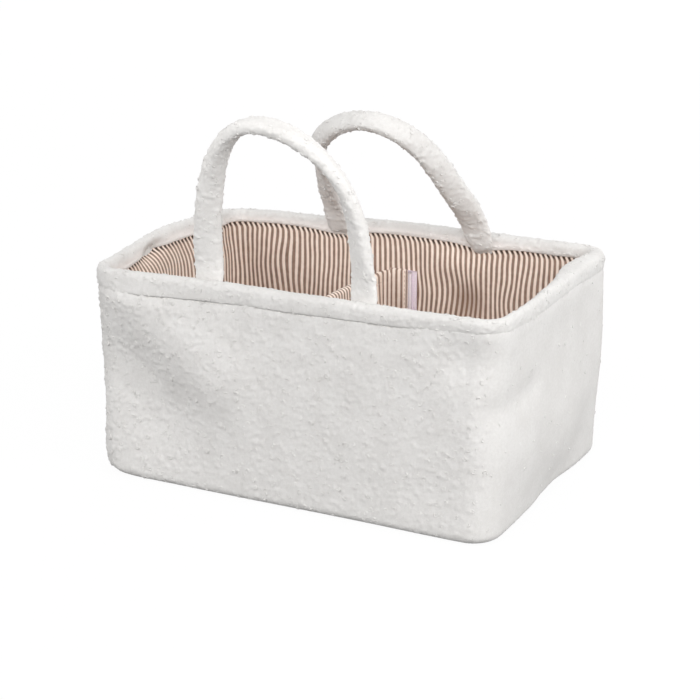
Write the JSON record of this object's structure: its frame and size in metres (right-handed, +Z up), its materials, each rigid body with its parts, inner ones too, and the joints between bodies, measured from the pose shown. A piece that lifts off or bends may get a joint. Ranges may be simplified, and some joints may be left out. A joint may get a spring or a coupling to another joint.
{
  "type": "diaper caddy",
  "caption": "Soft open-top nursery caddy with napped cloth walls, a folded padded rim, striped lining, padded strap handles and a lift-out divider with hook-and-loop flaps.",
  "frame": {"origin": "centre of the base's underside, on the surface it stands on", "axes": "+X along the long walls, to the right as seen from the front; -Y to the front; +Z up"},
  "size_m": [0.3796, 0.2694, 0.3276],
  "materials": {
    "napped_cloth": "napped, nubby off-white pile",
    "ticking": "woven cotton, brown and cream stripes",
    "foam": "soft sheet foam and wadding",
    "stiff_board": "pressed board",
    "loop_tape": "pale lilac loop pile",
    "hook_tape": "pale nylon hooks"
  },
  "bodies": {
    "caddy_body": {"outer_wrap": "napped_cloth", "base_panel": "napped_cloth", "rim_band": "napped_cloth", "wall_lining": "ticking", "floor_lining": "ticking", "front_wall_foam": "foam", "back_wall_foam": "foam", "left_wall_foam": "foam", "right_wall_foam": "foam", "base_board": "stiff_board", "front_loop_tape": "loop_tape", "back_loop_tape": "loop_tape", "front_handle_left_root": "napped_cloth", "front_handle_right_root": "napped_cloth", "back_handle_left_root": "napped_cloth", "back_handle_right_root": "napped_cloth"},
    "front_handle": {"front_handle_sleeve": "napped_cloth", "front_handle_core": "foam"},
    "back_handle": {"back_handle_sleeve": "napped_cloth", "back_handle_core": "foam"},
    "divider": {"divider_cover": "ticking", "divider_foam": "foam"},
    "front_divider_flap": {"front_flap": "ticking", "front_hook_tape": "hook_tape"},
    "back_divider_flap": {"back_flap": "ticking", "back_hook_tape": "hook_tape"}
  },
  "joints": [
    {"name": "front_handle_fold", "type": "hinge", "parent": "caddy_body", "child": "front_handle", "pos_m": [-0.007, -0.1061, 0.1906], "axis": [1, 0, 0], "range_deg": [-53.5, 76.5]},
    {"name": "back_handle_fold", "type": "hinge", "parent": "caddy_body", "child": "back_handle", "pos_m": [0, 0.1061, 0.1906], "axis": [-1, 0, 0], "range_deg": [-3.5, 126.5]},
    {"name": "divider_lift", "type": "slide", "parent": "caddy_body", "child": "divider", "axis": [0, 0, 1], "range_m": [0, 0.13]},
    {"name": "front_flap_peel", "type": "hinge", "parent": "divider", "child": "front_divider_flap", "pos_m": [-0.014, -0.1068, 0.0744], "axis": [0, 0, 1], "range_deg": [0, 70]},
    {"name": "back_flap_peel", "type": "hinge", "parent": "divider", "child": "back_divider_flap", "pos_m": [-0.014, 0.1068, 0.0744], "axis": [0, 0, -1], "range_deg": [0, 70]}
  ]
}
